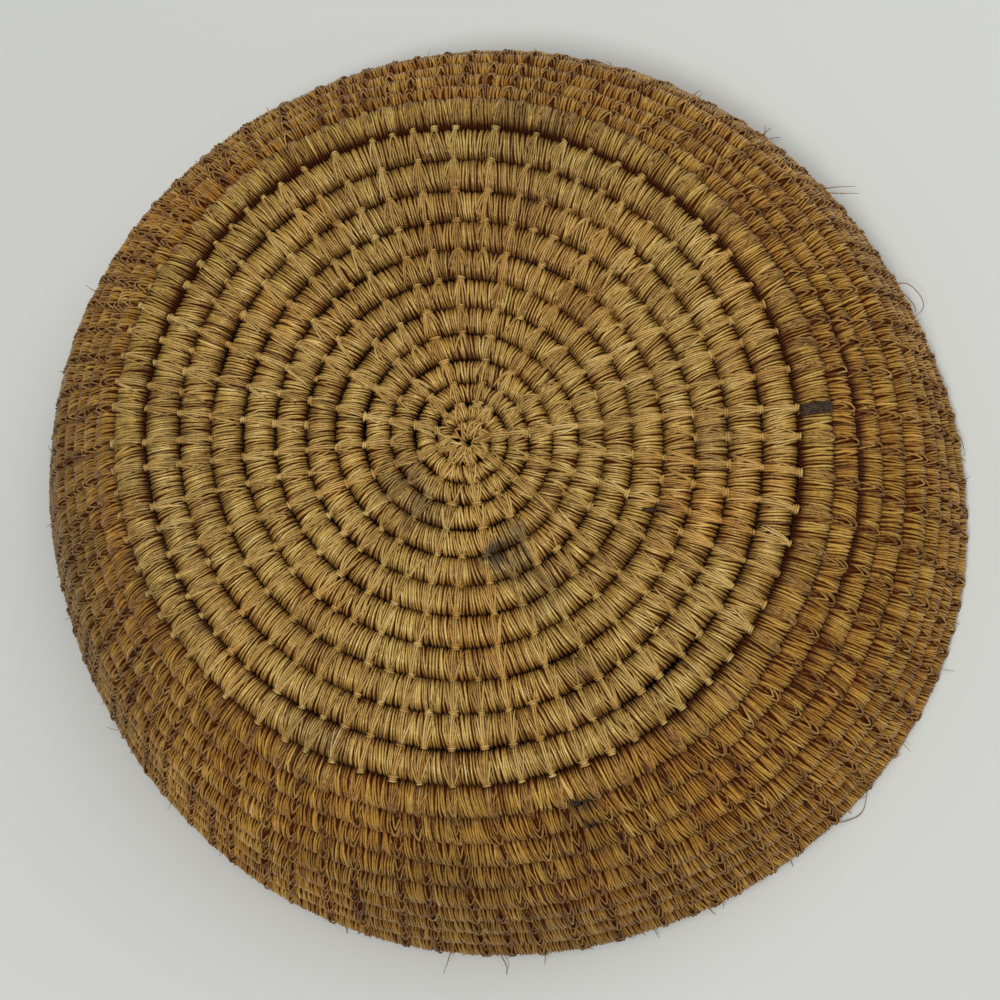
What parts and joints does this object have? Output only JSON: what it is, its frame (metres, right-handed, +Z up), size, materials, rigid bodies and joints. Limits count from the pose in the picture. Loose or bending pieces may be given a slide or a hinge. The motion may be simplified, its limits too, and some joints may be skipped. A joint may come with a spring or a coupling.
{
  "type": "coiled grass basket",
  "caption": "Round coiled grass basket with a flat base and flared wall, standing mouth down on its rim.",
  "frame": {"origin": "centre of the circle on which the rim stands, on the ground", "axes": "+Z up through the base's outer face, because the basket stands mouth down as in the picture; +X is the picture's right and +Y its top"},
  "size_m": [0.3406, 0.3386, 0.0925],
  "materials": {
    "start_grass": "dry grass strands drawn tight, satin",
    "base_grass": "golden tan dry grass wrap, satin",
    "edge_grass": "golden tan dry grass wrap, satin",
    "wall_grass": "red-brown dry grass wrap, satin",
    "rim_grass": "dark brown dry grass wrap, satin",
    "stitch_grass": "pale tan split grass strand, satin"
  },
  "bodies": {
    "root": {"start_knot": "start_grass", "base_coil": "base_grass", "edge_coil": "edge_grass", "wall_coil": "wall_grass", "rim_coil": "rim_grass", "stitch_line_01": "stitch_grass", "stitch_line_02": "stitch_grass", "stitch_line_03": "stitch_grass", "stitch_line_04": "stitch_grass", "stitch_line_05": "stitch_grass", "stitch_line_06": "stitch_grass", "stitch_line_07": "stitch_grass", "stitch_line_08": "stitch_grass", "stitch_line_09": "stitch_grass", "stitch_line_10": "stitch_grass", "stitch_line_11": "stitch_grass", "stitch_line_12": "stitch_grass", "stitch_line_13": "stitch_grass", "stitch_line_14": "stitch_grass", "stitch_line_15": "stitch_grass", "stitch_line_16": "stitch_grass", "stitch_line_17": "stitch_grass", "stitch_line_18": "stitch_grass", "stitch_line_19": "stitch_grass", "stitch_line_20": "stitch_grass", "stitch_line_21": "stitch_grass", "stitch_line_22": "stitch_grass", "stitch_line_23": "stitch_grass", "stitch_line_24": "stitch_grass", "stitch_line_25": "stitch_grass", "stitch_line_26": "stitch_grass", "stitch_line_27": "stitch_grass", "stitch_line_28": "stitch_grass", "stitch_line_29": "stitch_grass", "stitch_line_30": "stitch_grass", "stitch_line_31": "stitch_grass", "stitch_line_32": "stitch_grass", "stitch_line_33": "stitch_grass", "stitch_line_34": "stitch_grass", "stitch_line_35": "stitch_grass", "stitch_line_36": "stitch_grass", "stitch_line_37": "stitch_grass", "stitch_line_38": "stitch_grass", "stitch_line_39": "stitch_grass", "stitch_line_40": "stitch_grass", "stitch_line_41": "stitch_grass", "stitch_line_42": "stitch_grass", "stitch_line_43": "stitch_grass", "stitch_line_44": "stitch_grass"}
  },
  "joints": []
}
